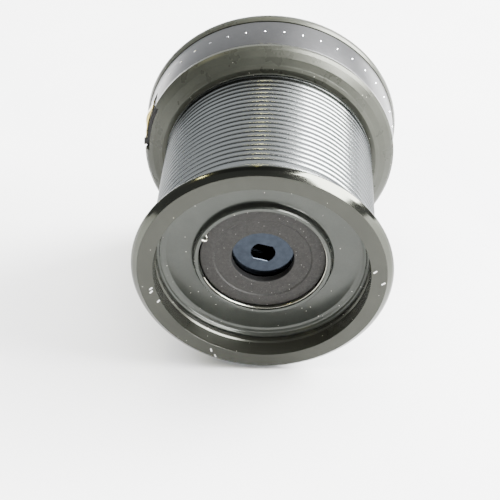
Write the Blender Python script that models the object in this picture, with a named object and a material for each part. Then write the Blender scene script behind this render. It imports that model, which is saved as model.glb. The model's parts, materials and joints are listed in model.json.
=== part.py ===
"""A long-cast spinning-reel spool, lying on its side with its drag knob taken off.

The spool's axis runs along Y and the front lip faces -Y. Every round piece is turned about that
axis, so its shape is given as (s, r) points: s is the distance behind the front face and r is the
distance from the axis. Angles are seen from the front: 0 points to +X and 90 points up.
"""

import bmesh
import bpy
from math import acos, ceil, cos, degrees, pi, radians, sin

MM = 0.001

# Fits
GAP = 0.3 * MM                  # between pieces that touch or turn in one another
RIM_SIDES = 48                  # facets of the large rims, with a flat underneath
DRUM_SIDES = 36
WASHER_SIDES = 32
BEARING_SIDES = 20
SCREW_SIDES = 12

# Line drum: its radius and length drive the whole spool
DRUM_RADIUS = 29.7 * MM
DRUM_LENGTH = 43.5 * MM
DRUM_WALL = 1.5 * MM
GROOVE_PITCH = 2.007 * MM
GROOVE_DEPTH = 0.22 * MM
PLAIN_FRONT = 4.05 * MM         # from the drum's front end to the first groove's middle
PLAIN_REAR = 2.9 * MM           # at least this from the last groove's middle to the rear end

# Front lip and the recess for the drag knob
LIP_RISE = 4.3 * MM             # height of the lip over the drum
LIP_BEVEL = 1.93 * MM           # from the widest line in to the flat face
LIP_PEAK = 1.82 * MM            # distance of the widest line behind the face
LIP_LENGTH = 6.2 * MM
LIP_FOOT_RISE = 0.9 * MM        # of the lip's back over the drum
RECESS_WALL = 1.7 * MM          # from the drum's outside in to the recess wall
RECESS_STEP = 0.4 * MM          # height of the two small steps at the foot of the wall
RECESS_STEP_LENGTH = 1.3 * MM
FLOOR_DROP = 1.4 * MM           # of the recess floor behind the drum's front end
FLOOR_FILLET = 3.4 * MM
FLOOR_THICKNESS = 2.0 * MM

# Drag cup in the middle
COLLAR_HEIGHT = 2.1 * MM        # above the recess floor
COLLAR_WALL = 1.3 * MM
COLLAR_BEVEL = 0.4 * MM
COLLAR_FLARE = 0.3 * MM         # how much wider the collar is at its foot
CUP_RADIUS = 16.8 * MM
CUP_BOTTOM = 1.8 * MM
WIRE_RADIUS = 0.35 * MM
WIRE_GROOVE = 0.65 * MM         # depth of the wire's groove in the cup wall
RIM_LIP = 0.2 * MM              # thickness of the rim over the groove
WIRE_START = 200.0              # the wire is open on the left, from one end to the other
WIRE_END = 509.0
WIRE_STEPS = 34
WIRE_HOOK = 0.8 * MM            # how far one end is bent inwards and then forwards
WIRE_HOOK_ANGLE = 1.4

# Drag washers, from the front
WASHER_CLEARANCE = 0.4 * MM     # round each washer in the cup
TOP_FRICTION_THICKNESS = 2.3 * MM
TOP_FRICTION_HOLE = 8.15 * MM
IMPRINT_INSET = 3.7 * MM        # from the cup wall to the edge of the knob plate's imprint
IMPRINT_DEPTH = 0.35 * MM
FRICTION_THICKNESS = 1.0 * MM
FRICTION_HOLE = 6.0 * MM
FRICTION_COUNT = 3              # below the top one
SPOOL_WASHER_THICKNESS = 1.0 * MM
KEY_THICKNESS = 1.2 * MM
KEY_COUNT = 2
KEY_INSET = 1.4 * MM            # from the cup wall to the keyed washers

# Double-D opening for the reel's main shaft
SHAFT_RADIUS = 3.15 * MM
SHAFT_FLAT = 2.5 * MM           # half of the distance over the flats
SHAFT_TILT = -16.0
SHAFT_ARC_STEPS = 4
SHAFT_FLAT_STEPS = 3

# Hub
SLEEVE_WALL = 0.85 * MM
SLEEVE_OVERHANG = 1.5 * MM      # behind the ratchet
BEARING_OUTER = 8.0 * MM
BEARING_WIDTH = 5.0 * MM
BALL_COUNT = 7
BALL_STEPS = 5                  # facets round the cage for each ball
CAGE_SECTION = 0.4              # cage's thickness as a share of the ball's
HUB_WALL = 2.2 * MM
HUB_FLANGE_WIDTH = 5.3 * MM
HUB_FLANGE_LENGTH = 4.5 * MM
HUB_STOP = 1.1 * MM             # shoulder in front of the front bearing
HUB_STOP_RISE = 1.0 * MM        # of the shoulder over the bearing's outer race
SPACER_WALL = 1.1 * MM
CIRCLIP_THICKNESS = 1.0 * MM
CIRCLIP_WIDTH = 1.8 * MM
CIRCLIP_OPEN = 40.0

# Rear web and click
WEB_PLATE = 2.5 * MM
RATCHET_TEETH = 24
RATCHET_WALL = 2.5 * MM         # from the sleeve's outside to the teeth's tips
TOOTH_DEPTH = 0.9 * MM
RATCHET_THICKNESS = 1.5 * MM
RATCHET_STANDOFF = 1.2 * MM     # behind the web plate
PAWL_DROP = 2.1 * MM            # from the teeth's tips down to the pivot's height
PAWL_BOSS = 2.3 * MM
PAWL_ARM = 0.9 * MM             # half of the arm's height
PAWL_NOSE = 0.35 * MM           # half of the nose's width
PAWL_NOSE_LENGTH = 0.85 * MM
PAWL_TIP_CLEARANCE = 0.55 * MM  # from the nose to the foot of a tooth
PIVOT_RADIUS = 1.2 * MM
PIVOT_INSET = 3.07 * MM         # from the hub tube's outside to the pivot
SPRING_WIRE = 0.25 * MM
SPRING_RADIUS = 2.1 * MM
SPRING_TURNS = 2.5
SPRING_PITCH = 0.85 * MM
SPRING_LEG = 6.0 * MM
SCREW_RADIUS = 1.0 * MM
SCREW_HEAD_RIM = 1.0 * MM       # of the head beyond the shank
SCREW_HEAD_HEIGHT = 1.2 * MM
SCREW_SLOT = 0.6 * MM
SCREW_SHORT = 0.9 * MM          # from a screw's end to the front of the hub flange
SCREW_INSET = 2.1 * MM          # from the hub tube's outside to a screw
SCREW_ANGLES = (15.0, 135.0, 255.0)

# Rear flange and skirt
FLANGE_STEP = 0.9 * MM          # of the flange's front edge behind the drum
FLANGE_FRONT_WALL = 0.8 * MM
FLANGE_RISE = 6.5 * MM          # height of the flange over the drum
FLANGE_SLOPE = 3.3 * MM         # length of its rounded front
FLANGE_RIM = 1.2 * MM
BAND_LENGTH = 11.1 * MM
BAND_INSET = 0.2 * MM           # of the band below the flange
BAND_FLARE = 0.6 * MM
BAND_WALL = 1.3 * MM
RIM_LENGTH = 2.9 * MM
RIM_RISE = 0.8 * MM             # height of the rear rim over the band
RIM_EDGE_RISE = 0.15 * MM
RIM_CREST = 1.7 * MM            # from the rim's front to its widest line

# Line clip in the skirt
CLIP_START = 152.0
CLIP_END = 176.0
CLIP_LENGTH = 5.3 * MM          # along the spool's axis
CLIP_DEPTH = 2.4 * MM
CLIP_INSET = 0.1 * MM           # of its face below the band
CLIP_STEPS = 8
NOTCH_DEPTH = 1.25 * MM         # of the notch in the flange's rim in front of the clip
LUG_RISE = 0.9 * MM             # of the two lugs that hold the arm's pin
LUG_ROOT = 0.5 * MM             # how far the lugs reach down into the base
LUG_INSET = 0.1 * MM
LUG_START = 172.3
LUG_END = 175.4
ARM_MARGIN = 1.05 * MM          # from the arm's side to the base's side
ARM_THICKNESS = 0.5 * MM
ARM_FREE_ANGLE = 155.0
ARM_PIVOT_ANGLE = 173.5
ARM_LIP = 0.4 * MM
ARM_LIP_ANGLE = 1.2
ARM_STEPS = 6
KNUCKLE_RADIUS = 1.0 * MM
PIN_RADIUS = 0.45 * MM
PIN_OVERHANG = 0.6 * MM         # into the base at each end

# Radii that follow
LIP_RADIUS = DRUM_RADIUS + LIP_RISE
LIP_FACE_RADIUS = LIP_RADIUS - LIP_BEVEL
RECESS_RADIUS = DRUM_RADIUS - RECESS_WALL
COLLAR_RADIUS = CUP_RADIUS + COLLAR_WALL
WASHER_RADIUS = CUP_RADIUS - WASHER_CLEARANCE
IMPRINT_RADIUS = CUP_RADIUS - IMPRINT_INSET
KEY_RADIUS = CUP_RADIUS - KEY_INSET
SLEEVE_RADIUS = SHAFT_RADIUS + SLEEVE_WALL
BEARING_INNER = SLEEVE_RADIUS + GAP
RACE_WALL = (BEARING_OUTER - BEARING_INNER) / 4
HUB_BORE = BEARING_OUTER + GAP
HUB_RADIUS = HUB_BORE + HUB_WALL
RATCHET_RADIUS = SLEEVE_RADIUS + RATCHET_WALL
PAWL_PIVOT_Z = -(RATCHET_RADIUS + PAWL_DROP)
PAWL_PIVOT_X = ((HUB_RADIUS + PIVOT_INSET) ** 2 - PAWL_PIVOT_Z ** 2) ** 0.5
FLANGE_RADIUS = DRUM_RADIUS + FLANGE_RISE
BAND_FRONT_RADIUS = FLANGE_RADIUS - BAND_INSET
BAND_REAR_RADIUS = BAND_FRONT_RADIUS + BAND_FLARE
RIM_RADIUS = BAND_REAR_RADIUS + RIM_RISE
CLIP_FACE = BAND_FRONT_RADIUS - CLIP_INSET

# Distances behind the front face, in order
DRUM_START = LIP_LENGTH + GAP
DRUM_END = DRUM_START + DRUM_LENGTH
RECESS_DEPTH = DRUM_START + FLOOR_DROP
COLLAR_TOP = RECESS_DEPTH - COLLAR_HEIGHT
WIRE_ROOM = 2 * (WIRE_RADIUS + GAP)
WASHERS_START = COLLAR_TOP + RIM_LIP + WIRE_ROOM
FRICTION_STACK = TOP_FRICTION_THICKNESS + GAP + FRICTION_COUNT * (FRICTION_THICKNESS + GAP)
KEY_STACK = KEY_COUNT * (KEY_THICKNESS + GAP)
CUP_END = WASHERS_START + FRICTION_STACK + KEY_STACK + SPOOL_WASHER_THICKNESS + GAP
FRONT_BEARING = CUP_END + HUB_STOP + GAP
REAR_BEARING = DRUM_END - BEARING_WIDTH
WEB_START = DRUM_END + GAP
WEB_END = WEB_START + WEB_PLATE
RATCHET_START = WEB_END + RATCHET_STANDOFF
RATCHET_END = RATCHET_START + RATCHET_THICKNESS
SLEEVE_END = RATCHET_END + SLEEVE_OVERHANG
FLANGE_START = DRUM_END + FLANGE_STEP
FLANGE_EDGE = FLANGE_START + FLANGE_SLOPE
FLANGE_BACK = FLANGE_EDGE + FLANGE_RIM
BAND_START = FLANGE_BACK + GAP
BAND_END = BAND_START + BAND_LENGTH
RIM_START = BAND_END + GAP
SPOOL_LENGTH = RIM_START + RIM_LENGTH

FRONT_Y = -SPOOL_LENGTH / 2
AXIS_HEIGHT = RIM_RADIUS * cos(pi / RIM_SIDES)


def clear_scene():
    for obj in list(bpy.data.objects):
        bpy.data.objects.remove(obj, do_unlink=True)


# Materials

def make_material(name, colour, roughness, metallic):
    material = bpy.data.materials.new(name)
    material.use_nodes = True
    shader = material.node_tree.nodes["Principled BSDF"]
    shader.inputs["Base Color"].default_value = (*colour, 1.0)
    shader.inputs["Roughness"].default_value = roughness
    shader.inputs["Metallic"].default_value = metallic
    material.diffuse_color = (*colour, 1.0)
    return material


def olive_anodised():
    return make_material("olive_anodised", (0.20, 0.21, 0.16), 0.32, 1.0)


def turned_aluminium():
    return make_material("turned_aluminium", (0.55, 0.56, 0.54), 0.3, 1.0)


def grey_anodised():
    return make_material("grey_anodised", (0.27, 0.28, 0.26), 0.38, 1.0)


def silver_anodised():
    return make_material("silver_anodised", (0.6, 0.6, 0.6), 0.3, 1.0)


def friction_fibre():
    return make_material("friction_fibre", (0.09, 0.08, 0.075), 0.8, 0.0)


def blued_steel():
    return make_material("blued_steel", (0.10, 0.15, 0.24), 0.3, 1.0)


def plain_steel():
    return make_material("plain_steel", (0.45, 0.45, 0.46), 0.35, 1.0)


def bearing_steel():
    return make_material("bearing_steel", (0.6, 0.6, 0.62), 0.2, 1.0)


def spring_steel():
    return make_material("spring_steel", (0.35, 0.35, 0.34), 0.3, 1.0)


def cage_brass():
    return make_material("cage_brass", (0.55, 0.42, 0.2), 0.35, 1.0)


def black_plastic():
    return make_material("black_plastic", (0.015, 0.015, 0.015), 0.5, 0.0)


def gilt_metal():
    return make_material("gilt_metal", (0.75, 0.62, 0.35), 0.25, 1.0)


# Shapes

def add_piece(name, points, faces, material, centre):
    mesh = bpy.data.meshes.new(name)
    mesh.from_pydata(points, [], faces)
    solid = bmesh.new()
    solid.from_mesh(mesh)
    bmesh.ops.recalc_face_normals(solid, faces=solid.faces)
    solid.to_mesh(mesh)
    solid.free()
    if material is not None:
        mesh.materials.append(material)
    piece = bpy.data.objects.new(name, mesh)
    piece.location = centre
    bpy.context.scene.collection.objects.link(piece)
    return piece


def on_axis(s=0.0):
    return (0.0, FRONT_Y + s, AXIS_HEIGHT)


def beside_axis(x, s, z):
    return (x, FRONT_Y + s, AXIS_HEIGHT + z)


def polar(r, angle):
    return (r * cos(radians(angle)), r * sin(radians(angle)))


def shade_round(piece, corner=35.0):
    """Smooth shading, with edges sharper than the corner angle kept crisp."""
    piece.data.shade_smooth()
    piece.data.set_sharp_from_angle(angle=radians(corner))
    return piece


def loops_to_faces(loop_count, size, closed):
    """Quads between neighbouring loops of points, with end caps where the row of loops is open."""
    faces = []
    steps = loop_count if closed else loop_count - 1
    for i in range(steps):
        a = i * size
        b = ((i + 1) % loop_count) * size
        for k in range(size):
            n = (k + 1) % size
            faces.append((a + k, a + n, b + n, b + k))
    if not closed:
        faces.append(tuple(range(size)))
        faces.append(tuple(range((loop_count - 1) * size, loop_count * size)))
    return faces


def turn(name, profile, sides, material, centre):
    """A ring: the closed (s, r) profile turned about the Y axis through the centre."""
    points = []
    for i in range(sides):
        angle = 360.0 * (i + 0.5) / sides
        for s, r in profile:
            x, z = polar(r, angle)
            points.append((x, s, z))
    faces = loops_to_faces(sides, len(profile), closed=True)
    return shade_round(add_piece(name, points, faces, material, centre))


def turn_part(name, profile, start, end, steps, material, centre):
    """Part of a ring between two angles, with flat ends."""
    points = []
    for i in range(steps + 1):
        angle = start + (end - start) * i / steps
        for s, r in profile:
            x, z = polar(r, angle)
            points.append((x, s, z))
    faces = loops_to_faces(steps + 1, len(profile), closed=False)
    return shade_round(add_piece(name, points, faces, material, centre))


def tube(name, s0, s1, inner, outer, sides, material, centre):
    profile = [(s0, inner), (s0, outer), (s1, outer), (s1, inner)]
    return turn(name, profile, sides, material, centre)


def rod(name, radius, s0, s1, sides, material, centre):
    """A solid bar along Y."""
    points = []
    for s in (s0, s1):
        for i in range(sides):
            x, z = polar(radius, 360.0 * (i + 0.5) / sides)
            points.append((x, s, z))
    faces = loops_to_faces(2, sides, closed=False)
    return shade_round(add_piece(name, points, faces, material, centre))


def punched_plate(name, s0, s1, outer, inner, material, centre):
    """A plate with a hole, from two outlines that hold the same number of (x, z) points."""
    points = []
    for outline, s in ((outer, s0), (outer, s1), (inner, s1), (inner, s0)):
        for x, z in outline:
            points.append((x, s, z))
    size = len(outer)
    faces = loops_to_faces(4, size, closed=True)
    return shade_round(add_piece(name, points, faces, material, centre))


def flat_plate(name, s0, s1, outline, material, centre):
    points = [(x, s, z) for s in (s0, s1) for x, z in outline]
    faces = loops_to_faces(2, len(outline), closed=False)
    return add_piece(name, points, faces, material, centre)


def wire(name, path, radius, sides, material, centre):
    """A round wire that follows the path, with flat ends."""
    points = []
    last = len(path) - 1
    for i, here in enumerate(path):
        before = path[max(i - 1, 0)]
        after = path[min(i + 1, last)]
        along = [b - a for a, b in zip(before, after)]
        length = sum(v * v for v in along) ** 0.5
        tx, ty, tz = [v / length for v in along]
        flat = (tx * tx + tz * tz) ** 0.5
        across = (tz / flat, 0.0, -tx / flat)
        upward = (
            ty * across[2] - tz * across[1],
            tz * across[0] - tx * across[2],
            tx * across[1] - ty * across[0],
        )
        for k in range(sides):
            a, b = polar(radius, 360.0 * k / sides)
            points.append(tuple(here[j] + a * across[j] + b * upward[j] for j in range(3)))
    faces = loops_to_faces(len(path), sides, closed=False)
    return shade_round(add_piece(name, points, faces, material, centre))


def combine(piece, other, operation):
    other.hide_render = True
    other.display_type = "WIRE"
    modifier = piece.modifiers.new(other.name, "BOOLEAN")
    modifier.operation = operation
    modifier.solver = "EXACT"
    modifier.object = other


def cut(piece, cutter):
    combine(piece, cutter, "DIFFERENCE")


def join(piece, block):
    combine(piece, block, "UNION")


def shaft_angles():
    """Angles that trace the double-D opening, with a point at each of its four corners."""
    corner = 90.0 - degrees(acos(SHAFT_FLAT / SHAFT_RADIUS))
    angles = []
    for side in (0.0, 180.0):
        for i in range(SHAFT_ARC_STEPS):
            angles.append(side - corner + 2 * corner * i / SHAFT_ARC_STEPS)
        for i in range(SHAFT_FLAT_STEPS):
            angles.append(side + corner + (180.0 - 2 * corner) * i / SHAFT_FLAT_STEPS)
    return angles


def shaft_outline(repeat):
    """The opening's outline and its angles, with each angle step shared out into repeat steps."""
    corners = shaft_angles()
    corners.append(corners[0] + 360.0)
    outline = []
    angles = []
    for a, b in zip(corners, corners[1:]):
        for i in range(repeat):
            angle = a + (b - a) * i / repeat
            across = abs(sin(radians(angle)))
            r = SHAFT_RADIUS
            if across * SHAFT_RADIUS > SHAFT_FLAT:
                r = SHAFT_FLAT / across
            outline.append(polar(r, angle + SHAFT_TILT))
            angles.append(angle + SHAFT_TILT)
    return outline, angles


# Spool

def front_lip():
    foot = LIP_LENGTH - RECESS_STEP_LENGTH
    profile = [
        (0.0, RECESS_RADIUS),
        (0.0, LIP_FACE_RADIUS),
        (0.35 * LIP_PEAK, LIP_RADIUS - 0.42 * LIP_BEVEL),
        (LIP_PEAK, LIP_RADIUS),
        (1.6 * LIP_PEAK, LIP_RADIUS - 0.35 * LIP_BEVEL),
        (LIP_LENGTH - GAP, DRUM_RADIUS + LIP_FOOT_RISE),
        (LIP_LENGTH, DRUM_RADIUS),
        (LIP_LENGTH, RECESS_RADIUS - RECESS_STEP),
        (foot, RECESS_RADIUS - RECESS_STEP),
        (foot - RECESS_STEP, RECESS_RADIUS),
    ]
    return turn("front_lip", profile, RIM_SIDES, olive_anodised(), on_axis())


def line_drum():
    inner = DRUM_RADIUS - DRUM_WALL
    half = GROOVE_PITCH / 2
    first = DRUM_START + PLAIN_FRONT
    room = DRUM_LENGTH - PLAIN_FRONT - PLAIN_REAR
    profile = [(DRUM_START, inner), (DRUM_START, DRUM_RADIUS), (first - half, DRUM_RADIUS)]
    for i in range(1 + int(room / GROOVE_PITCH)):
        middle = first + i * GROOVE_PITCH
        profile.append((middle, DRUM_RADIUS - GROOVE_DEPTH))
        profile.append((middle + half, DRUM_RADIUS))
    profile.append((DRUM_END, DRUM_RADIUS))
    profile.append((DRUM_END, inner))
    return turn("line_drum", profile, DRUM_SIDES, turned_aluminium(), on_axis())


def spool_core():
    """Recess floor, drag cup and hub tube in one turned piece."""
    outer = DRUM_RADIUS - DRUM_WALL - GAP
    collar_foot = COLLAR_RADIUS + COLLAR_FLARE
    back = RECESS_DEPTH + FLOOR_THICKNESS
    profile = [
        (DRUM_START, outer),
        (DRUM_START, outer - RECESS_STEP),
        (DRUM_START + 0.45 * FLOOR_DROP, outer - 0.3 * FLOOR_FILLET),
        (DRUM_START + 0.85 * FLOOR_DROP, outer - 0.65 * FLOOR_FILLET),
        (RECESS_DEPTH, outer - FLOOR_FILLET - RECESS_STEP),
        (RECESS_DEPTH, collar_foot),
        (COLLAR_TOP + COLLAR_BEVEL, COLLAR_RADIUS),
        (COLLAR_TOP, COLLAR_RADIUS - COLLAR_BEVEL),
        (COLLAR_TOP, CUP_RADIUS),
        (COLLAR_TOP + RIM_LIP, CUP_RADIUS),
        (COLLAR_TOP + RIM_LIP, CUP_RADIUS + WIRE_GROOVE),
        (COLLAR_TOP + RIM_LIP + WIRE_ROOM, CUP_RADIUS + WIRE_GROOVE),
        (COLLAR_TOP + RIM_LIP + WIRE_ROOM, CUP_RADIUS),
        (CUP_END, CUP_RADIUS),
        (CUP_END, BEARING_OUTER - HUB_STOP_RISE),
        (CUP_END + HUB_STOP, BEARING_OUTER - HUB_STOP_RISE),
        (CUP_END + HUB_STOP, HUB_BORE),
        (DRUM_END, HUB_BORE),
        (DRUM_END, HUB_RADIUS + HUB_FLANGE_WIDTH),
        (DRUM_END - HUB_FLANGE_LENGTH, HUB_RADIUS + HUB_FLANGE_WIDTH),
        (DRUM_END - HUB_FLANGE_LENGTH, HUB_RADIUS),
        (CUP_END + CUP_BOTTOM, HUB_RADIUS),
        (CUP_END + CUP_BOTTOM, collar_foot),
        (back, collar_foot),
        (back, outer),
    ]
    core = turn("spool_core", profile, DRUM_SIDES, grey_anodised(), on_axis())
    for cutter in screw_hole_cutters("core"):
        cut(core, cutter)
    return core


def wire_clip():
    """Round wire ring that keeps the drag washers in, with one end hooked forwards to be gripped."""
    r = CUP_RADIUS + WIRE_GROOVE - GAP - WIRE_RADIUS
    s = COLLAR_TOP + RIM_LIP + GAP + WIRE_RADIUS
    path = []
    for i in range(WIRE_STEPS + 1):
        x, z = polar(r, WIRE_START + (WIRE_END - WIRE_START) * i / WIRE_STEPS)
        path.append((x, s, z))
    x, z = polar(r - WIRE_HOOK, WIRE_END + WIRE_HOOK_ANGLE)
    path.append((x, s - WIRE_RADIUS, z))
    x, z = polar(r - WIRE_HOOK, WIRE_END + 2 * WIRE_HOOK_ANGLE)
    path.append((x, s - WIRE_RADIUS - WIRE_HOOK, z))
    return wire("wire_clip", path, WIRE_RADIUS, 6, spring_steel(), on_axis())


# Drag washers

def top_friction_washer():
    s0 = WASHERS_START
    s1 = s0 + TOP_FRICTION_THICKNESS
    profile = [
        (s0, WASHER_RADIUS),
        (s0, IMPRINT_RADIUS),
        (s0 + IMPRINT_DEPTH, IMPRINT_RADIUS - IMPRINT_DEPTH),
        (s0 + IMPRINT_DEPTH, TOP_FRICTION_HOLE),
        (s1, TOP_FRICTION_HOLE),
        (s1, WASHER_RADIUS),
    ]
    turn("friction_washer_top", profile, DRUM_SIDES, friction_fibre(), on_axis())
    return s1 + GAP


def friction_washer(name, start):
    end = start + FRICTION_THICKNESS
    material = friction_fibre()
    tube(name, start, end, FRICTION_HOLE, WASHER_RADIUS, WASHER_SIDES, material, on_axis())
    return end + GAP


def spool_washer(start):
    end = start + SPOOL_WASHER_THICKNESS
    material = plain_steel()
    tube("spool_washer", start, end, FRICTION_HOLE, WASHER_RADIUS, WASHER_SIDES, material, on_axis())
    return end + GAP


def key_washer(name, start):
    """Steel washer with the double-D opening, so it turns with the main shaft."""
    inner, angles = shaft_outline(repeat=2)
    outer = [polar(KEY_RADIUS, a) for a in angles]
    end = start + KEY_THICKNESS
    punched_plate(name, start, end, outer, inner, blued_steel(), on_axis())
    return end + GAP


def drag_washers():
    start = top_friction_washer()
    start = key_washer("key_washer_top", start)
    start = friction_washer("friction_washer_mid_a", start)
    start = spool_washer(start)
    start = friction_washer("friction_washer_mid_b", start)
    start = key_washer("key_washer_low", start)
    friction_washer("friction_washer_low", start)


# Hub

def hub_sleeve():
    inner, angles = shaft_outline(repeat=1)
    outer = [polar(SLEEVE_RADIUS, a) for a in angles]
    start = FRONT_BEARING
    punched_plate("hub_sleeve", start, SLEEVE_END, outer, inner, plain_steel(), on_axis())


def race(name, start, inner, outer):
    end = start + BEARING_WIDTH
    tube(name, start, end, inner, outer, BEARING_SIDES, bearing_steel(), on_axis())


def ball_ring(name, start):
    """Balls in their cage, as one ring that swells at each ball."""
    middle = (BEARING_INNER + BEARING_OUTER) / 2
    ball = RACE_WALL - GAP / 3
    steps = BALL_COUNT * BALL_STEPS
    points = []
    sides = 6
    for i in range(steps):
        angle = 360.0 * i / steps
        share = (1 + cos(radians(angle * BALL_COUNT))) / 2
        size = ball * (CAGE_SECTION + (1 - CAGE_SECTION) * share)
        for k in range(sides):
            ds, dr = polar(size, 360.0 * k / sides)
            x, z = polar(middle + dr, angle)
            points.append((x, start + BEARING_WIDTH / 2 + ds, z))
    faces = loops_to_faces(steps, sides, closed=True)
    shade_round(add_piece(name, points, faces, cage_brass(), on_axis()))


def ball_bearing(prefix, start):
    race(prefix + "_outer", start, BEARING_OUTER - RACE_WALL, BEARING_OUTER)
    race(prefix + "_inner", start, BEARING_INNER, BEARING_INNER + RACE_WALL)
    ball_ring(prefix + "_balls", start)


def bearing_spacer():
    start = FRONT_BEARING + BEARING_WIDTH + GAP
    end = REAR_BEARING - GAP
    inner = BEARING_OUTER - SPACER_WALL
    tube("bearing_spacer", start, end, inner, BEARING_OUTER, BEARING_SIDES, plain_steel(), on_axis())


def bearing_clip():
    start = REAR_BEARING + BEARING_WIDTH + GAP
    end = start + CIRCLIP_THICKNESS
    inner = BEARING_OUTER - CIRCLIP_WIDTH
    profile = [(start, inner), (start, BEARING_OUTER), (end, BEARING_OUTER), (end, inner)]
    first = 90.0 + CIRCLIP_OPEN / 2
    last = 450.0 - CIRCLIP_OPEN / 2
    turn_part("bearing_clip", profile, first, last, BEARING_SIDES, spring_steel(), on_axis())


# Rear web and click

def screw_hole_cutters(tag):
    """Rods for the web screws' holes and the pawl pivot's hole."""
    cutters = []
    start = DRUM_END - HUB_FLANGE_LENGTH - 2 * MM
    end = WEB_END + 2 * MM
    for i, angle in enumerate(SCREW_ANGLES):
        x, z = polar(HUB_RADIUS + SCREW_INSET, angle)
        name = "hole_{}_{}".format(tag, i + 1)
        centre = beside_axis(x, 0.0, z)
        cutters.append(rod(name, SCREW_RADIUS + GAP, start, end, SCREW_SIDES, None, centre))
    name = "hole_{}_pivot".format(tag)
    centre = beside_axis(PAWL_PIVOT_X, 0.0, PAWL_PIVOT_Z)
    cutters.append(rod(name, PIVOT_RADIUS + GAP, start, end, SCREW_SIDES, None, centre))
    return cutters


def rear_web():
    outer = DRUM_RADIUS - GAP / 3
    web = tube("rear_web", WEB_START, WEB_END, HUB_BORE, outer, DRUM_SIDES, grey_anodised(), on_axis())
    for cutter in screw_hole_cutters("web"):
        cut(web, cutter)
    return web


def screw(name, x, z, shank, head_start, reach, head_radius):
    """Pan-head screw from behind, with a slot across its head."""
    head_end = head_start + SCREW_HEAD_HEIGHT
    edge = 0.25 * head_radius
    profile = [
        (head_start - reach, shank),
        (head_start, shank),
        (head_start, head_radius),
        (head_end - edge, head_radius),
        (head_end, head_radius - edge),
    ]
    points = []
    for s, r in profile:
        for i in range(SCREW_SIDES):
            px, pz = polar(r, 360.0 * (i + 0.5) / SCREW_SIDES)
            points.append((px, s, pz))
    faces = loops_to_faces(len(profile), SCREW_SIDES, closed=False)
    body = add_piece(name, points, faces, plain_steel(), beside_axis(x, 0.0, z))
    half = SCREW_SLOT / 2
    reach_out = head_radius + MM
    outline = [(-reach_out, -half), (reach_out, -half), (reach_out, half), (-reach_out, half)]
    centre = beside_axis(x, 0.0, z)
    depth = head_end - 0.5 * SCREW_HEAD_HEIGHT
    slot = flat_plate(name + "_slot", depth, head_end + MM, outline, None, centre)
    cut(body, slot)
    return shade_round(body)


def web_screws():
    for i, angle in enumerate(SCREW_ANGLES):
        x, z = polar(HUB_RADIUS + SCREW_INSET, angle)
        head = WEB_END + GAP
        reach = head - DRUM_END + HUB_FLANGE_LENGTH - SCREW_SHORT
        name = "web_screw_{}".format(i + 1)
        screw(name, x, z, SCREW_RADIUS, head, reach, SCREW_RADIUS + SCREW_HEAD_RIM)


def click_ratchet():
    outer = []
    inner = []
    for i in range(2 * RATCHET_TEETH):
        angle = -90.0 + 180.0 * i / RATCHET_TEETH
        r = RATCHET_RADIUS if i % 2 else RATCHET_RADIUS - TOOTH_DEPTH
        outer.append(polar(r, angle))
        inner.append(polar(SLEEVE_RADIUS + GAP, angle))
    material = plain_steel()
    punched_plate("click_ratchet", RATCHET_START, RATCHET_END, outer, inner, material, on_axis())


def click_pawl():
    """Lever below the ratchet whose nose sits between two teeth."""
    tip_z = -(RATCHET_RADIUS - TOOTH_DEPTH + PAWL_TIP_CLEARANCE) - PAWL_PIVOT_Z
    nose_x = -PAWL_PIVOT_X
    arm_end = nose_x - 2 * PAWL_NOSE
    outline = [polar(PAWL_BOSS, a) for a in (-140, -100, -60, -20, 20, 60, 100, 140)]
    outline += [
        (nose_x + 2 * PAWL_NOSE, PAWL_ARM),
        (nose_x + PAWL_NOSE, tip_z - PAWL_NOSE_LENGTH),
        (nose_x, tip_z),
        (nose_x - PAWL_NOSE, tip_z - PAWL_NOSE_LENGTH),
        (arm_end, PAWL_ARM * 0.6),
        (arm_end + 0.2 * MM, -PAWL_ARM * 0.7),
    ]
    centre = beside_axis(PAWL_PIVOT_X, 0.0, PAWL_PIVOT_Z)
    pawl = flat_plate("click_pawl", RATCHET_START, RATCHET_END, outline, plain_steel(), centre)
    hole_end = RATCHET_END + 2 * MM
    hole_start = RATCHET_START - 2 * MM
    hole = rod("pawl_hole", PIVOT_RADIUS + GAP, hole_start, hole_end, SCREW_SIDES, None, centre)
    cut(pawl, hole)


def pawl_spring_length():
    return SPRING_TURNS * SPRING_PITCH + 2 * SPRING_WIRE


def pawl_spring():
    """Coil round the pivot whose leg lies along the pawl."""
    start = RATCHET_END + GAP + SPRING_WIRE
    steps = int(ceil(SPRING_TURNS * 12))
    path = [(-SPRING_LEG, start, -SPRING_RADIUS)]
    for i in range(steps + 1):
        turned = 360.0 * SPRING_TURNS * i / steps
        x, z = polar(SPRING_RADIUS, -90.0 + turned)
        path.append((x, start + SPRING_PITCH * turned / 360.0, z))
    centre = beside_axis(PAWL_PIVOT_X, 0.0, PAWL_PIVOT_Z)
    wire("pawl_spring", path, SPRING_WIRE, 5, spring_steel(), centre)


def pawl_screw():
    head = RATCHET_END + GAP + pawl_spring_length() + GAP
    reach = head - WEB_START
    radius = SPRING_RADIUS + SPRING_WIRE
    screw("pawl_screw", PAWL_PIVOT_X, PAWL_PIVOT_Z, PIVOT_RADIUS, head, reach, radius)


# Rear flange and skirt

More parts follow.
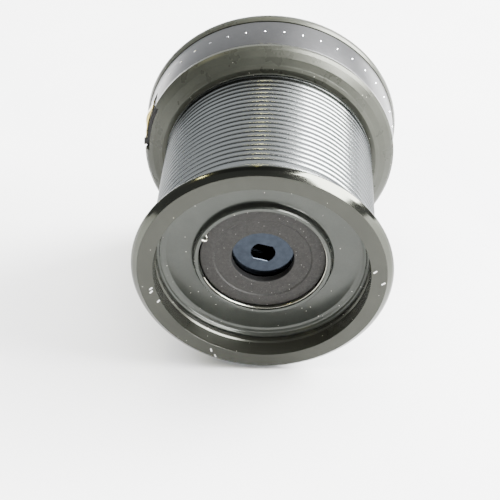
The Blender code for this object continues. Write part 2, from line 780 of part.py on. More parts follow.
def rear_flange():
    inner = DRUM_RADIUS + GAP
    width = FLANGE_RADIUS - inner
    profile = [
        (FLANGE_START, inner),
        (FLANGE_START, inner + FLANGE_FRONT_WALL),
        (FLANGE_START + 0.15 * FLANGE_SLOPE, inner + 0.3 * width),
        (FLANGE_START + 0.45 * FLANGE_SLOPE, inner + 0.62 * width),
        (FLANGE_START + 0.8 * FLANGE_SLOPE, inner + 0.9 * width),
        (FLANGE_EDGE, FLANGE_RADIUS),
        (FLANGE_BACK, FLANGE_RADIUS),
        (FLANGE_BACK, BAND_FRONT_RADIUS - BAND_WALL),
        (FLANGE_START + 0.75 * FLANGE_SLOPE, inner),
    ]
    flange = turn("rear_flange", profile, RIM_SIDES, olive_anodised(), on_axis())
    deep = FLANGE_RADIUS - NOTCH_DEPTH
    high = FLANGE_RADIUS + MM
    front = FLANGE_START
    back = FLANGE_BACK + MM
    notch = [(front, deep), (front, high), (back, high), (back, deep)]
    cutter = turn_part("flange_notch", notch, CLIP_START, CLIP_END, CLIP_STEPS, None, on_axis())
    cut(flange, cutter)
    return flange


def skirt_band():
    profile = [
        (BAND_START, BAND_FRONT_RADIUS - BAND_WALL),
        (BAND_START, BAND_FRONT_RADIUS),
        (BAND_END, BAND_REAR_RADIUS),
        (BAND_END, BAND_REAR_RADIUS - BAND_WALL),
    ]
    band = turn("skirt_band", profile, RIM_SIDES, silver_anodised(), on_axis())
    side = degrees(GAP / BAND_FRONT_RADIUS)
    deep = BAND_FRONT_RADIUS - 2 * CLIP_DEPTH
    high = BAND_REAR_RADIUS + 2 * MM
    end = BAND_START + CLIP_LENGTH + GAP
    window = [(FLANGE_BACK - MM, deep), (FLANGE_BACK - MM, high), (end, high), (end, deep)]
    first = CLIP_START - side
    last = CLIP_END + side
    cutter = turn_part("clip_window", window, first, last, CLIP_STEPS, None, on_axis())
    cut(band, cutter)
    return band


def skirt_rim():
    inner = BAND_REAR_RADIUS - BAND_WALL
    profile = [
        (RIM_START, inner),
        (RIM_START, BAND_REAR_RADIUS + RIM_EDGE_RISE),
        (RIM_START + 0.65 * RIM_CREST, RIM_RADIUS - 0.12 * MM),
        (RIM_START + RIM_CREST, RIM_RADIUS),
        (SPOOL_LENGTH - 0.4 * MM, RIM_RADIUS - 0.2 * MM),
        (SPOOL_LENGTH, RIM_RADIUS - 0.7 * MM),
        (SPOOL_LENGTH, inner),
    ]
    return turn("skirt_rim", profile, RIM_SIDES, olive_anodised(), on_axis())


# Line clip

def arm_pivot():
    return polar(CLIP_FACE + GAP / 2, ARM_PIVOT_ANGLE)


def arm_room():
    """Start and end of the arm along the axis, in the middle of the base."""
    return BAND_START + ARM_MARGIN, BAND_START + CLIP_LENGTH - ARM_MARGIN


def line_clip_base():
    end = BAND_START + CLIP_LENGTH
    floor = CLIP_FACE - CLIP_DEPTH
    profile = [(BAND_START, floor), (BAND_START, CLIP_FACE), (end, CLIP_FACE), (end, floor)]
    material = black_plastic()
    base = turn_part("line_clip_base", profile, CLIP_START, CLIP_END, CLIP_STEPS, material, on_axis())
    low = CLIP_FACE - LUG_ROOT
    high = CLIP_FACE + LUG_RISE
    first = BAND_START + LUG_INSET
    last = end - LUG_INSET
    lug = [(first, low), (first, high), (last, high), (last, low)]
    join(base, turn_part("clip_lug", lug, LUG_START, LUG_END, 2, None, on_axis()))
    x, z = arm_pivot()
    s0, s1 = arm_room()
    centre = beside_axis(x, 0.0, z)
    room = KNUCKLE_RADIUS + GAP
    cut(base, rod("knuckle_room", room, s0 - GAP, s1 + GAP, 16, None, centre))
    reach = PIN_OVERHANG + GAP
    cut(base, rod("pin_room", PIN_RADIUS + GAP, s0 - reach, s1 + reach, 10, None, centre))
    return base


def line_clip_arm():
    """Springy tongue with its knuckle at one end and a lifted lip at the other."""
    px, pz = arm_pivot()
    inner = CLIP_FACE + GAP
    outer = inner + ARM_THICKNESS
    near = ARM_PIVOT_ANGLE - degrees(0.8 * KNUCKLE_RADIUS / inner)
    far = ARM_FREE_ANGLE + ARM_LIP_ANGLE
    outline = [polar(inner, ARM_FREE_ANGLE), polar(outer + ARM_LIP, ARM_FREE_ANGLE)]
    for i in range(ARM_STEPS + 1):
        outline.append(polar(outer, far + (near - far) * i / ARM_STEPS))
    for turned in (110, 75, 40, 5, -30, -65, -100, -135):
        along, out = polar(KNUCKLE_RADIUS, turned)
        ox, oz = polar(1.0, ARM_PIVOT_ANGLE)
        outline.append((px + out * ox - along * oz, pz + out * oz + along * ox))
    for i in range(ARM_STEPS + 1):
        outline.append(polar(inner, near - (near - far) * i / ARM_STEPS))
    outline = [(x - px, z - pz) for x, z in outline]
    s0, s1 = arm_room()
    centre = beside_axis(px, 0.0, pz)
    arm = flat_plate("line_clip_arm", s0, s1, outline, gilt_metal(), centre)
    hole = rod("arm_hole", PIN_RADIUS + 0.5 * GAP, s0 - MM, s1 + MM, 10, None, centre)
    cut(arm, hole)
    return arm


def line_clip_pin():
    x, z = arm_pivot()
    s0, s1 = arm_room()
    centre = beside_axis(x, 0.0, z)
    rod("line_clip_pin", PIN_RADIUS, s0 - PIN_OVERHANG, s1 + PIN_OVERHANG, 10, plain_steel(), centre)


def build():
    clear_scene()
    front_lip()
    line_drum()
    spool_core()
    wire_clip()
    drag_washers()
    hub_sleeve()
    ball_bearing("front_bearing", FRONT_BEARING)
    ball_bearing("rear_bearing", REAR_BEARING)
    bearing_spacer()
    bearing_clip()
    rear_web()
    web_screws()
    click_ratchet()
    click_pawl()
    pawl_spring()
    pawl_screw()
    rear_flange()
    skirt_band()
    skirt_rim()
    line_clip_base()
    line_clip_arm()
    line_clip_pin()


build()
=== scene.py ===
import json
import math

import bmesh
import bpy
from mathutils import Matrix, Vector


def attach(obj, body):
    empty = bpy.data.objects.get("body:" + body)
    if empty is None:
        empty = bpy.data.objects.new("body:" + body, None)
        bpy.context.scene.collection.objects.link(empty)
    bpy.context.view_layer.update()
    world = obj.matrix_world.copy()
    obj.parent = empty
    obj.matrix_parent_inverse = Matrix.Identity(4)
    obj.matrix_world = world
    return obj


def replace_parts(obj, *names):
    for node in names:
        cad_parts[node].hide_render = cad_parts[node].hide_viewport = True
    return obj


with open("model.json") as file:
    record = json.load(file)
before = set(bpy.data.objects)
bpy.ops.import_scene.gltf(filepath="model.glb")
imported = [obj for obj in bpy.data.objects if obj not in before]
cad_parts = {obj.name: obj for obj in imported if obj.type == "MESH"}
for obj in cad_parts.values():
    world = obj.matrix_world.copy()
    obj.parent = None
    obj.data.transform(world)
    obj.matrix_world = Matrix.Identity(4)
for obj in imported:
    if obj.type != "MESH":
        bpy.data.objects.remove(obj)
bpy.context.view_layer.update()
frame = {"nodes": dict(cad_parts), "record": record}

NODES = frame["nodes"]

# All sizes below are in millimetres about the spool's axis: s is the distance behind the front
# face, r the distance from the axis, and angles run from +X (0) over the top (90).
MM = 0.001
AXIS_HEIGHT = 37.32
HALF_LENGTH = 35.0
SEGMENTS = 288
SHARP_ANGLE = 40
STRAIGHT_ANGLE = 177

# Front lip and line drum
LIP_RADIUS = 33.98
LIP_FACE_RADIUS = 32.07
LIP_PEAK = 1.82
LIP_LENGTH = 6.2
RECESS_RADIUS = 28.0
DRUM_RADIUS = 29.68
DRUM_START = 6.5
DRUM_END = 50.0
GROOVE_PITCH = 2.007
GROOVE_DEPTH = 0.24
GROOVE_COUNT = 19
GROOVE_HALF = 6
CREASE_SHARE = 0.25
CREASE_WIDTH = 0.15
FIRST_GROOVE = 10.55
DRUM_WALL = 1.48

# Core of the drum, with its recess and drag cup
CORE_RADIUS = 27.85
FLOOR = 7.9
COLLAR_TOP = 5.8
COLLAR_RADIUS = 18.1
CUP_RADIUS = 16.8
CUP_END = 18.1
HUB_BORE = 8.3
HUB_RADIUS = 10.5
HUB_FLANGE = 15.8
SLEEVE_HOLE = 7.0

# Wire ring; the hook's points are (s, r, angle) from the ring's end
WIRE_RADIUS = 0.33
WIRE_START = 200.0
WIRE_END = 509.0
WIRE_DEPTH = 0.85
WIRE_STEPS = 160
WIRE_HOOK = (
    (-0.12, -0.35, 0.7), (-0.35, -0.62, 1.3), (-0.8, -0.72, 1.9),
    (-1.3, -0.6, 2.3), (-1.55, -0.2, 2.5), (-1.6, 0.5, 2.6),
)

# Drag washers
WASHER_START = 7.3
WASHER_END = 9.6
WASHER_HOLE = 8.15
WASHER_CLEARANCE = 0.4
IMPRINT_RADIUS = 13.0
IMPRINT_DEPTH = 0.32
KEY_START = 9.9
KEY_END = 11.1
KEY_RADIUS = 15.38
SHAFT_RADIUS = 3.13
SHAFT_FLAT = 2.48
SHAFT_TILT = -16.0
SHAFT_BEVEL = 0.12

# Skirt: flange, band and rim
FLANGE_START = 50.9
FLANGE_BORE = 29.5
FLANGE_EDGE = 54.2
FLANGE_BACK = 55.4
FLANGE_RADIUS = 36.2
BAND_START = 55.7
BAND_END = 66.8
BAND_FRONT_RADIUS = 35.98
BAND_REAR_RADIUS = 36.58
BAND_WALL = 1.3
RIM_START = 67.1
RIM_CREST = 68.8
RIM_END = 70.0
RIM_RADIUS = 37.3

# Line clip on the left of the skirt
CLIP_START = 152.0
CLIP_END = 176.0
CLIP_LENGTH = 5.3
WINDOW_OUTER = 39.0
WINDOW_INNER = 31.0
NOTCH_DEPTH = 1.25
LEAF_START = 155.0
LEAF_END = 172.6
LEAF_FRONT = 56.75
LEAF_BACK = 59.95
LEAF_TOP = 36.45
LEAF_LOW = 36.1
LEAF_EDGE = 0.12
BULGE_HEIGHT = 0.65
BULGE_ANGLE = 162.3
BULGE_SPREAD = 3.2

# Row of studs round the band
DOT_COUNT = 43
DOT_S = 62.0
DOT_RADIUS = 0.42
DOT_RISE = 0.2
DOT_FALL = 0.35
FIRST_DOT = 23.6

# Bare nicks in the lip: (s, r, angle)
NICKS = (
    (0.0, 29.4, -170.0), (0.0, 29.2, -172.2), (0.0, 28.6, -163.0), (0.0, 29.0, 3.5), (0.0, 31.2, -4.0),
    (0.0, 30.1, -119.0), (0.1, 31.6, -115.5),
)
NICK_RADIUS = 0.26


# ---------------------------------------------------------------- shapes

def polar(r, angle):
    """Radius and angle in degrees to x and z."""
    a = math.radians(angle)
    return r * math.cos(a), r * math.sin(a)


def place(s, r, angle):
    """A point of the spool, in metres in the shared frame."""
    x, z = polar(r, angle)
    return (x * MM, (s - HALF_LENGTH) * MM, (AXIS_HEIGHT + z) * MM)


def new_object(name, points, faces, material, body, sharp=SHARP_ANGLE):
    """A smooth-shaded mesh that moves with its body."""
    mesh = bpy.data.meshes.new(name)
    mesh.from_pydata(points, [], faces)
    bm = bmesh.new()
    bm.from_mesh(mesh)
    bmesh.ops.recalc_face_normals(bm, faces=bm.faces)
    bm.to_mesh(mesh)
    bm.free()
    mesh.shade_smooth()
    mesh.set_sharp_from_angle(angle=math.radians(sharp))
    mesh.materials.append(material)
    obj = bpy.data.objects.new(name, mesh)
    bpy.context.scene.collection.objects.link(obj)
    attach(obj, body)
    return obj


def rounded(profile, default=0.12, steps=4):
    """Rounds each corner of a closed (s, r[, radius]) profile."""
    out = []
    count = len(profile)
    for i, corner in enumerate(profile):
        radius = corner[2] if len(corner) > 2 else default
        here = Vector(corner[:2])
        a = Vector(profile[i - 1][:2]) - here
        b = Vector(profile[(i + 1) % count][:2]) - here
        bend = a.angle(b)
        if radius <= 0 or bend > math.radians(STRAIGHT_ANGLE):
            out.append(tuple(here))
            continue
        reach = min(radius / math.tan(bend / 2), 0.45 * a.length, 0.45 * b.length)
        p = here + a.normalized() * reach
        q = here + b.normalized() * reach
        for k in range(steps + 1):
            t = k / steps
            out.append(tuple(p * (1 - t) ** 2 + here * 2 * t * (1 - t) + q * t ** 2))
    return out


def skin(rows, size, closed):
    """Quads between neighbouring rows of points, with ends where the rows are open."""
    faces = []
    for i in range(rows if closed else rows - 1):
        a = i * size
        b = ((i + 1) % rows) * size
        for k in range(size):
            n = (k + 1) % size
            faces.append((a + k, a + n, b + n, b + k))
    if not closed:
        faces.append(tuple(range(size)))
        faces.append(tuple(range((rows - 1) * size, rows * size)))
    return faces


def ring(name, profile, material, body, sharp=SHARP_ANGLE):
    """A closed profile turned about the axis. Its r may be a function of the angle."""
    points = []
    for i in range(SEGMENTS):
        angle = 360.0 * i / SEGMENTS
        for s, r in profile:
            points.append(place(s, r(angle) if callable(r) else r, angle))
    faces = skin(SEGMENTS, len(profile), closed=True)
    return new_object(name, points, faces, material, body, sharp)


def sector(name, profile, start, end, steps, material, body, sharp=SHARP_ANGLE):
    """Part of a turned ring, closed at both ends."""
    points = []
    for i in range(steps + 1):
        angle = start + (end - start) * i / steps
        points += [place(s, r, angle) for s, r in profile]
    faces = skin(steps + 1, len(profile), closed=False)
    return new_object(name, points, faces, material, body, sharp)


def sweep(name, path, radius, sides, material, body):
    """A round wire along a path of points in metres."""
    points = []
    last = len(path) - 1
    for i, here in enumerate(path):
        here = Vector(here)
        along = (Vector(path[min(i + 1, last)]) - Vector(path[max(i - 1, 0)])).normalized()
        across = along.cross(Vector((0.0, 1.0, 0.001))).normalized()
        up = along.cross(across)
        for k in range(sides):
            a, b = polar(radius * MM, 360.0 * k / sides)
            points.append(tuple(here + across * a + up * b))
    faces = skin(len(path), sides, closed=False)
    return new_object(name, points, faces, material, body, 60)


def subtract(obj, cutter):
    """Cuts the cutter out of the object and removes it."""
    modifier = obj.modifiers.new("cut", "BOOLEAN")
    modifier.operation = "DIFFERENCE"
    modifier.solver = "EXACT"
    modifier.object = cutter
    bpy.context.view_layer.update()
    with bpy.context.temp_override(object=obj, active_object=obj):
        bpy.ops.object.modifier_apply(modifier="cut")
    bpy.data.objects.remove(cutter, do_unlink=True)
    obj.data.set_sharp_from_angle(angle=math.radians(SHARP_ANGLE))


# ---------------------------------------------------------------- materials

def smoothstep(tree, value, low, high, a, b):
    """A smooth change from a to b, as the value goes from low to high."""
    n = tree.nodes.new("ShaderNodeMapRange")
    n.interpolation_type = "SMOOTHSTEP"
    for key, number in (("From Min", low), ("From Max", high), ("To Min", a), ("To Max", b)):
        n.inputs[key].default_value = number
    tree.links.new(value, n.inputs["Value"])
    return n.outputs[0]


class Finish:
    """A Principled material with short helpers for its nodes."""

    def __init__(self, name, base, roughness, metallic, anisotropic=0.0, specular=0.25):
        self.material = bpy.data.materials.new(name)
        self.material.use_nodes = True
        self.tree = self.material.node_tree
        self.shader = self.tree.nodes["Principled BSDF"]
        self.shader.inputs["Base Color"].default_value = (*base, 1)
        self.shader.inputs["Roughness"].default_value = roughness
        self.shader.inputs["Metallic"].default_value = metallic
        self.shader.inputs["Specular IOR Level"].default_value = specular
        self.shader.inputs["Anisotropic"].default_value = anisotropic
        if anisotropic:
            tangent = self.node("ShaderNodeTangent")
            tangent.direction_type = "RADIAL"
            tangent.axis = "Y"
            self.link(tangent.outputs[0], self.shader.inputs["Tangent"])
        self.find_place()

    def node(self, kind):
        """A new node of the material's tree."""
        return self.tree.nodes.new(kind)

    def link(self, a, b):
        self.tree.links.new(a, b)

    def put(self, value, socket):
        """Links a socket, or sets a plain value."""
        if isinstance(value, bpy.types.NodeSocket):
            self.link(value, socket)
        else:
            socket.default_value = value

    def math(self, operation, a, b=0.0):
        """A math node of sockets or plain values."""
        n = self.node("ShaderNodeMath")
        n.operation = operation
        self.put(a, n.inputs[0])
        self.put(b, n.inputs[1])
        return n.outputs[0]

    def find_place(self):
        """s and r in millimetres about the spool's axis."""
        coords = self.node("ShaderNodeTexCoord")
        self.vector = coords.outputs["Object"]
        parts = self.node("ShaderNodeSeparateXYZ")
        self.link(self.vector, parts.inputs[0])
        x = self.math("MULTIPLY", parts.outputs[0], 1000.0)
        z = self.math("SUBTRACT", self.math("MULTIPLY", parts.outputs[2], 1000.0), AXIS_HEIGHT)
        self.s = self.math("ADD", self.math("MULTIPLY", parts.outputs[1], 1000.0), HALF_LENGTH)
        square = self.math("ADD", self.math("MULTIPLY", x, x), self.math("MULTIPLY", z, z))
        self.r = self.math("SQRT", square)

    def noise(self, scale, detail=3.0, roughness=0.55, distortion=0.0):
        """Noise in space; the scale is in bumps per millimetre."""
        n = self.node("ShaderNodeTexNoise")
        self.link(self.vector, n.inputs["Vector"])
        n.inputs["Scale"].default_value = scale * 1000.0
        n.inputs["Detail"].default_value = detail
        n.inputs["Roughness"].default_value = roughness
        n.inputs["Distortion"].default_value = distortion
        return n.outputs[0]

    def rings(self, scale, detail=2.0):
        """Noise that changes only with s and r, like the marks of a lathe."""
        n = self.node("ShaderNodeTexNoise")
        n.noise_dimensions = "1D"
        self.link(self.math("ADD", self.r, self.math("MULTIPLY", self.s, 1.37)), n.inputs["W"])
        n.inputs["Scale"].default_value = scale
        n.inputs["Detail"].default_value = detail
        return n.outputs[0]

    def ramp(self, value, low, high, a=0.0, b=1.0):
        """From a to b, smoothly, as the value goes from low to high."""
        return smoothstep(self.tree, value, low, high, a, b)

    def mix(self, factor, a, b):
        """Colour a where the factor is 0 and b where it is 1."""
        n = self.node("ShaderNodeMix")
        n.data_type = "RGBA"
        self.put(factor, n.inputs["Factor"])
        for value, key in ((a, "A"), (b, "B")):
            socket = [i for i in n.inputs if i.name == key and i.type == "RGBA"][0]
            self.put((*value, 1) if isinstance(value, tuple) else value, socket)
        return [o for o in n.outputs if o.type == "RGBA"][0]

    def specks(self, scale, size, share):
        """Scattered round specks: the scale is in cells per millimetre."""
        n = self.node("ShaderNodeTexVoronoi")
        self.link(self.vector, n.inputs["Vector"])
        n.inputs["Scale"].default_value = scale * 1000.0
        parts = self.node("ShaderNodeSeparateColor")
        self.link(n.outputs["Color"], parts.inputs[0])
        chosen = self.math("LESS_THAN", parts.outputs[0], share)
        return self.math("MULTIPLY", chosen, self.ramp(n.outputs["Distance"], size * 0.6, size, 1.0, 0.0))

    def near(self, s, r, angle, reach):
        """1 at one spot of the surface, falling to 0 at the reach."""
        n = self.node("ShaderNodeVectorMath")
        n.operation = "DISTANCE"
        self.link(self.vector, n.inputs[0])
        n.inputs[1].default_value = place(s, r, angle)
        return self.ramp(n.outputs["Value"], reach * MM * 0.5, reach * MM, 1.0, 0.0)

    def colour(self, value):
        self.put(value, self.shader.inputs["Base Color"])

    def rough(self, value):
        self.put(value, self.shader.inputs["Roughness"])

    def bump(self, height, strength, depth):
        """Adds relief, its depth in millimetres, to what is there already."""
        n = self.node("ShaderNodeBump")
        n.inputs["Strength"].default_value = strength
        n.inputs["Distance"].default_value = depth * MM
        self.put(height, n.inputs["Height"])
        before = self.shader.inputs["Normal"].links
        if before:
            self.link(before[0].from_socket, n.inputs["Normal"])
        self.link(n.outputs[0], self.shader.inputs["Normal"])


def shade(base, factor):
    """The colour, lighter or darker."""
    return tuple(min(c * factor, 1.0) for c in base)


def anodised(name, base, roughness, metallic, dust=0.08):
    """Anodised aluminium: fine turning marks, faint clouds and a little dust."""
    m = Finish(name, base, roughness, metallic, anisotropic=0.3, specular=0.22)
    marks = m.rings(9.0)
    cloud = m.noise(0.16)
    fine = m.noise(2.6, 3.0, 0.7)
    m.tone = m.mix(m.ramp(cloud, 0.35, 0.7), shade(base, 0.95), shade(base, 1.06))
    m.tone = m.mix(m.ramp(fine, 0.35, 0.75, 0.0, 0.3), m.tone, shade(base, 0.7))
    m.tone = m.mix(m.specks(0.9, 0.13, dust), m.tone, (0.45, 0.44, 0.38))
    m.satin = m.ramp(cloud, 0.3, 0.7, roughness * 0.95, roughness * 1.08)
    m.colour(m.tone)
    m.rough(m.satin)
    m.bump(marks, 0.2, 0.002)
    m.bump(fine, 0.10, 0.003)
    return m


def lip_metal():
    """As the other anodised parts, with a polished bevel and crest, and a few bare nicks."""
    m = anodised("lip_olive", (0.031, 0.032, 0.026), 0.20, 0.5)
    polished = m.ramp(m.r, LIP_FACE_RADIUS - 0.05, LIP_FACE_RADIUS + 0.2)
    tone = m.mix(polished, m.tone, (0.055, 0.057, 0.048))
    marks = 0.0
    for s, r, angle in NICKS:
        for step in (-1.5, -0.5, 0.5, 1.5):
            marks = m.math("MAXIMUM", m.near(s, r + 0.2 * step, angle + 0.3 * step, NICK_RADIUS), marks)
    m.colour(m.mix(marks, tone, (0.75, 0.75, 0.72)))
    m.put(m.ramp(polished, 0.0, 1.0, 0.5, 1.0), m.shader.inputs["Metallic"])
    m.rough(m.math("MULTIPLY", m.satin, m.ramp(polished, 0.0, 1.0, 1.0, 0.55)))
    return m.material


def drum_metal():
    """Bright turned aluminium, with painted shade at the bottom of each groove and painted shade darkening
    its smooth rear end beside the flange.
    """
    base = (0.165, 0.172, 0.174)
    m = Finish("drum_turned", base, 0.2, 1.0, anisotropic=0.4)
    m.shader.inputs["Specular Tint"].default_value = (0.3, 0.3, 0.3, 1)
    marks = m.rings(11.0)
    # Painted shade: the bottom of each groove is coloured dark.
    tone = m.mix(m.ramp(m.r, DRUM_RADIUS - 0.2, DRUM_RADIUS - 0.1), (0.05, 0.053, 0.053), base)
    # Painted shade: the last grooves darken towards the flange in place of its dark reflection, and the
    # plain end is coloured dark.
    tone = m.mix(m.ramp(m.s, DRUM_END - 10.0, DRUM_END - 2.5, 0.0, 0.45), tone, (0.05, 0.052, 0.05))
    tone = m.mix(m.ramp(m.s, DRUM_END - 2.6, DRUM_END - 2.2), tone, (0.04, 0.042, 0.04))
    tone = m.mix(m.ramp(marks, 0.45, 0.7, 0.0, 0.3), tone, (0.14, 0.15, 0.15))
    m.colour(tone)
    m.rough(m.ramp(marks, 0.3, 0.7, 0.18, 0.28))
    m.bump(marks, 0.25, 0.003)
    return m.material


def plain_metal(name, base, roughness, metallic=1.0, clouds=0.15):
    """Bare or plated metal with faint clouds and turning marks."""
    m = Finish(name, base, roughness, metallic)
    cloud = m.noise(0.6, 4.0)
    m.colour(m.mix(m.ramp(cloud, 0.3, 0.7), shade(base, 1.0 - clouds), shade(base, 1.0 + clouds)))
    m.rough(m.ramp(cloud, 0.3, 0.7, roughness * (1.0 - clouds), roughness * (1.0 + clouds)))
    m.bump(m.rings(12.0), 0.15, 0.002)
    return m.material


def friction_fibre():
    """Woven fibre washer, greasy and dusted with metal specks, with painted shade almost black at the edge
    of its hole.
    """
    base = (0.019, 0.018, 0.0165)
    m = Finish("friction_fibre_m", base, 0.6, 0.0, specular=0.15)
    fibre = m.noise(1.3, 6.0, 0.75, 1.2)
    fine = m.noise(5.0, 3.0, 0.7)
    tone = m.mix(m.ramp(fibre, 0.35, 0.65), shade(base, 0.75), shade(base, 1.3))
    tone = m.mix(m.specks(1.5, 0.16, 0.16), tone, (0.28, 0.27, 0.25))
    tone = m.mix(m.specks(3.0, 0.18, 0.12), tone, (0.12, 0.12, 0.11))
    # Painted shade: the hole's edge and wall are coloured almost black.
    tone = m.mix(m.ramp(m.r, WASHER_HOLE + 0.05, WASHER_HOLE + 0.25, 0.9, 0.0), tone, (0.002, 0.002, 0.002))
    m.colour(tone)
    m.rough(m.ramp(fine, 0.3, 0.7, 0.5, 0.8))
    m.bump(fibre, 0.4, 0.04)
    m.bump(fine, 0.3, 0.015)
    return m.material


def moulded(name, base, roughness):
    """Moulded plastic with a fine grain."""
    m = Finish(name, base, roughness, 0.0)
    fine = m.noise(3.0, 4.0)
    m.colour(m.mix(m.ramp(fine, 0.3, 0.7), shade(base, 0.8), shade(base, 1.3)))
    m.rough(m.ramp(fine, 0.3, 0.7, roughness * 0.85, roughness * 1.15))
    m.bump(fine, 0.25, 0.02)
    return m.material


LIP_OLIVE = lip_metal()
OLIVE = anodised("flange_olive", (0.038, 0.0395, 0.0315), 0.28, 0.4).material
CORE = anodised("core_grey", (0.0435, 0.0465, 0.0405), 0.20, 0.3, 0.14).material
DRUM = drum_metal()
SILVER = plain_metal("band_silver", (0.052, 0.052, 0.054), 0.3, 0.8, 0.04)
FIBRE = friction_fibre()
# Dark steel for the key washer, its blue tint a painted reflection.
KEY_BLUE_REFLECTION = plain_metal("key_steel_blue_reflection", (0.0185, 0.0225, 0.0290), 0.13)
STEEL = plain_metal("steel_m", (0.30, 0.30, 0.29), 0.32, 0.7)
BRIGHT = plain_metal("bearing_steel_m", (0.35, 0.35, 0.36), 0.16)
WIRE = plain_metal("spring_wire_m", (0.20, 0.20, 0.17), 0.22)
BRASS = plain_metal("cage_brass_m", (0.30, 0.21, 0.08), 0.3)
GILT = plain_metal("gilt_m", (0.42, 0.34, 0.13), 0.12, 0.9)
BLACK = moulded("black_plastic_m", (0.010, 0.010, 0.010), 0.4)
DOT = plain_metal("dot_polished", (0.75, 0.75, 0.78), 0.12)

FOR_SLOT = {
    "olive_anodised": OLIVE, "turned_aluminium": DRUM, "grey_anodised": CORE, "silver_anodised": SILVER,
    "friction_fibre": FIBRE, "blued_steel": KEY_BLUE_REFLECTION, "plain_steel": STEEL, "bearing_steel": BRIGHT,
    "spring_steel": WIRE, "cage_brass": BRASS, "black_plastic": BLACK, "gilt_metal": GILT,
}


def dress_cad():
    """Gives every CAD node the finish of its slot."""
    for row in frame["record"]["subparts"]:
        mesh = NODES[row["node"]].data
        mesh.materials.clear()
        mesh.materials.append(FOR_SLOT[row["material_slot"]])


# ---------------------------------------------------------------- pieces

def make_lip():
    """Flat front ring, bevel, crest, and the slope down to the drum."""
    profile = rounded([
        (0.0, RECESS_RADIUS, 0.08),
        (0.0, LIP_FACE_RADIUS, 0.3),
        (0.95, LIP_RADIUS - 0.72, 1.2),
        (LIP_PEAK, LIP_RADIUS, 0.9),
        (2.9, LIP_RADIUS - 0.7, 0.5),
        (5.9, DRUM_RADIUS + 0.9, 0.3),
        (LIP_LENGTH, DRUM_RADIUS, 0.1),
        (LIP_LENGTH, RECESS_RADIUS - 0.4, 0.08),
        (4.9, RECESS_RADIUS - 0.4, 0.08),
        (4.5, RECESS_RADIUS, 0.08),
    ], steps=6)
    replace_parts(ring("lip_ring", profile, LIP_OLIVE, "spool"), "front_lip")


def make_drum():
    """Rounded ridges between narrow grooves, then a plain, darker end."""
    inner = DRUM_RADIUS - DRUM_WALL
    profile = [(DRUM_START, inner), (DRUM_START, DRUM_RADIUS - 0.1), (DRUM_START + 0.1, DRUM_RADIUS)]
    profile.append((FIRST_GROOVE - GROOVE_PITCH / 2, DRUM_RADIUS))
    for i in range(GROOVE_COUNT):
        middle = FIRST_GROOVE + GROOVE_PITCH * i
        for k in range(-GROOVE_HALF, GROOVE_HALF + 1):
            t = k / (GROOVE_HALF + 0.5)
            crease = CREASE_SHARE * math.exp(-(t / CREASE_WIDTH) ** 2)
            drop = GROOVE_DEPTH * (crease + (1 - CREASE_SHARE) * (1 - abs(t)) ** 2)
            profile.append((middle + t * GROOVE_PITCH / 2, DRUM_RADIUS - drop))
    profile += [(DRUM_END - 2.3, DRUM_RADIUS), (DRUM_END - 2.2, DRUM_RADIUS - 0.15)]
    profile += [(DRUM_END - 0.75, DRUM_RADIUS - 0.15), (DRUM_END - 0.65, DRUM_RADIUS)]
    profile += [(DRUM_END - 0.1, DRUM_RADIUS), (DRUM_END, DRUM_RADIUS - 0.1), (DRUM_END, inner)]
    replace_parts(ring("drum_skin", profile, DRUM, "spool", 50), "line_drum")


def make_core():
    """Recess floor, the collar round the drag cup, and the hub tube behind it."""
    outer = CORE_RADIUS
    profile = rounded([
        (DRUM_START, outer, 0.0),
        (DRUM_START, outer - 0.5, 0.08),
        (DRUM_START + 0.2, outer - 0.75, 0.15),
        (DRUM_START + 0.75, outer - 1.0, 0.2),
        (DRUM_START + 0.85, outer - 1.35, 0.2),
        (FLOOR - 0.25, outer - 1.8, 0.3),
        (FLOOR, outer - 2.5, 0.5),
        (FLOOR, COLLAR_RADIUS + 0.3, 0.7),
        (COLLAR_TOP + 0.4, COLLAR_RADIUS - 0.05, 0.1),
        (COLLAR_TOP, COLLAR_RADIUS - 0.4, 0.1),
        (COLLAR_TOP, CUP_RADIUS + 0.05, 0.05),
        (COLLAR_TOP + 0.2, CUP_RADIUS + 0.05, 0.05),
        (COLLAR_TOP + 0.2, CUP_RADIUS + 0.65, 0.05),
        (WASHER_START, CUP_RADIUS + 0.65, 0.05),
        (WASHER_START, CUP_RADIUS, 0.05),
        (CUP_END, CUP_RADIUS),
        (CUP_END, SLEEVE_HOLE),
        (CUP_END + 1.1, SLEEVE_HOLE),
        (CUP_END + 1.1, HUB_BORE),
        (DRUM_END, HUB_BORE, 0.3),
        (DRUM_END, HUB_FLANGE),
        (DRUM_END - 4.5, HUB_FLANGE),
        (DRUM_END - 4.5, HUB_RADIUS, 0.6),
        (CUP_END + 1.8, HUB_RADIUS, 0.6),
        (CUP_END + 1.8, COLLAR_RADIUS + 0.3),
        (FLOOR + 2.0, COLLAR_RADIUS + 0.3, 0.6),
        (FLOOR + 2.0, outer),
    ])
    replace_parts(ring("core_turning", profile, CORE, "spool"), "spool_core")


def make_wire_clip():
    """The open wire ring in the cup's wall, with one end hooked forwards."""
    r = CUP_RADIUS
    s = COLLAR_TOP + WIRE_DEPTH
    turn = WIRE_END - WIRE_START
    path = [place(s, r, WIRE_START + turn * i / WIRE_STEPS) for i in range(WIRE_STEPS + 1)]
    for ds, dr, turned in WIRE_HOOK:
        path.append(place(s + ds, r + dr, WIRE_END + turned))
    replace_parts(sweep("wire_ring", path, WIRE_RADIUS, 14, WIRE, "spool"), "wire_clip")


